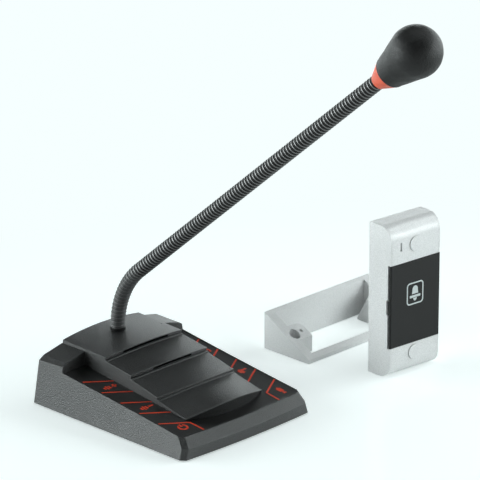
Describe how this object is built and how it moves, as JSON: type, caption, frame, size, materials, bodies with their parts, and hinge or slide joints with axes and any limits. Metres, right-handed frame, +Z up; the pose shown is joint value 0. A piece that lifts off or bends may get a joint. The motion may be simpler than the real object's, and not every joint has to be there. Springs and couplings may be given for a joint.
{
  "type": "counter intercom set",
  "caption": "Teller window intercom set: wedge console with louvred hood, keypad and gooseneck microphone, customer call panel with a press plate, and an angled bracket.",
  "frame": {"origin": "on the table, under the middle of the set's bounding box", "axes": "+Z up, the console's operator sits on the -Y side, +X from the console to the customer panel and the bracket"},
  "size_m": [0.2954, 0.3154, 0.3289],
  "materials": {
    "housing_black": "satin",
    "base_black": "matte",
    "foot_rubber": "matte",
    "screw_steel": "satin",
    "keypad_film": "matte",
    "circuit_board": "satin",
    "switch_black": "matte",
    "socket_black": "satin",
    "speaker_steel": "satin",
    "speaker_paper": "matte",
    "neck_black": "satin",
    "ring_red": "satin",
    "capsule_metal": "satin",
    "foam_grey": "matte",
    "panel_silver": "satin",
    "plug_silver": "satin",
    "plate_black": "matte",
    "bracket_silver": "satin"
  },
  "bodies": {
    "console": {"console_housing": "housing_black", "base_plate": "base_black", "rubber_feet": "foot_rubber", "base_screws": "screw_steel", "keypad_overlay": "keypad_film", "key_board": "circuit_board", "key_switches": "switch_black", "main_board": "circuit_board", "power_socket": "socket_black", "line_socket": "socket_black", "speaker_frame": "speaker_steel", "speaker_cone": "speaker_paper", "speaker_magnet": "speaker_steel"},
    "volume_up_key": {"volume_up_key": "keypad_film"},
    "volume_down_key": {"volume_down_key": "keypad_film"},
    "power_key": {"power_key": "keypad_film"},
    "listen_key": {"listen_key": "keypad_film"},
    "talk_key": {"talk_key": "keypad_film"},
    "microphone_key": {"microphone_key": "keypad_film"},
    "neck_base": {"neck_ferrule": "neck_black", "neck_nut": "screw_steel", "neck_lower": "neck_black"},
    "neck_arm": {"neck_upper": "neck_black", "neck_joint": "neck_black"},
    "mic_head": {"neck_end": "neck_black", "light_ring": "ring_red", "lamp_board": "circuit_board", "capsule_holder": "base_black", "mic_capsule": "capsule_metal", "windscreen": "foam_grey"},
    "customer_panel": {"panel_skin": "panel_silver", "panel_side_left": "panel_silver", "panel_side_right": "panel_silver", "panel_back": "base_black", "panel_board": "circuit_board", "call_switch": "switch_black", "panel_speaker": "speaker_steel", "panel_microphone": "capsule_metal", "screw_plugs": "plug_silver"},
    "call_button": {"call_button": "plate_black"},
    "bracket": {"angle_bracket": "bracket_silver"}
  },
  "joints": [
    {"name": "volume_up_key_press", "type": "slide", "parent": "console", "child": "volume_up_key", "axis": [0, 0.1177, -0.9931], "range_m": [0, 0.0004], "stiffness_N_per_m": 2500, "springref_m": -0.0001},
    {"name": "volume_down_key_press", "type": "slide", "parent": "console", "child": "volume_down_key", "axis": [0, 0.1177, -0.9931], "range_m": [0, 0.0004], "stiffness_N_per_m": 2500, "springref_m": -0.0001},
    {"name": "power_key_press", "type": "slide", "parent": "console", "child": "power_key", "axis": [0, 0.1177, -0.9931], "range_m": [0, 0.0004], "stiffness_N_per_m": 2500, "springref_m": -0.0001},
    {"name": "listen_key_press", "type": "slide", "parent": "console", "child": "listen_key", "axis": [0, 0.1177, -0.9931], "range_m": [0, 0.0004], "stiffness_N_per_m": 2500, "springref_m": -0.0001},
    {"name": "talk_key_press", "type": "slide", "parent": "console", "child": "talk_key", "axis": [0, 0.1177, -0.9931], "range_m": [0, 0.0004], "stiffness_N_per_m": 2500, "springref_m": -0.0001},
    {"name": "microphone_key_press", "type": "slide", "parent": "console", "child": "microphone_key", "axis": [0, 0.1177, -0.9931], "range_m": [0, 0.0004], "stiffness_N_per_m": 2500, "springref_m": -0.0001},
    {"name": "neck_turn", "type": "hinge", "parent": "console", "child": "neck_base", "pos_m": [-0.08551, 0.13746, 0.0444], "axis": [0, 0, 1], "range_deg": [-40, 40]},
    {"name": "neck_tilt", "type": "hinge", "parent": "neck_base", "child": "neck_arm", "pos_m": [-0.08551, 0.13174, 0.07241], "axis": [1, 0, 0], "range_deg": [-45, 25], "deforming": ["neck_lower"]},
    {"name": "head_tilt", "type": "hinge", "parent": "neck_arm", "child": "mic_head", "pos_m": [-0.08551, -0.04816, 0.23303], "axis": [1, 0, 0], "range_deg": [-35, 35], "deforming": ["neck_joint"]},
    {"name": "panel_lift", "type": "slide", "parent": "console", "child": "customer_panel", "axis": [0, 0, 1], "range_m": [0, 0.12]},
    {"name": "call_press", "type": "slide", "parent": "customer_panel", "child": "call_button", "axis": [0.0889, 0.996, 0], "range_m": [0, 0.0009], "stiffness_N_per_m": 2500, "springref_m": -0.0003},
    {"name": "bracket_lift", "type": "slide", "parent": "console", "child": "bracket", "axis": [0, 0, 1], "range_m": [0, 0.05]}
  ]
}
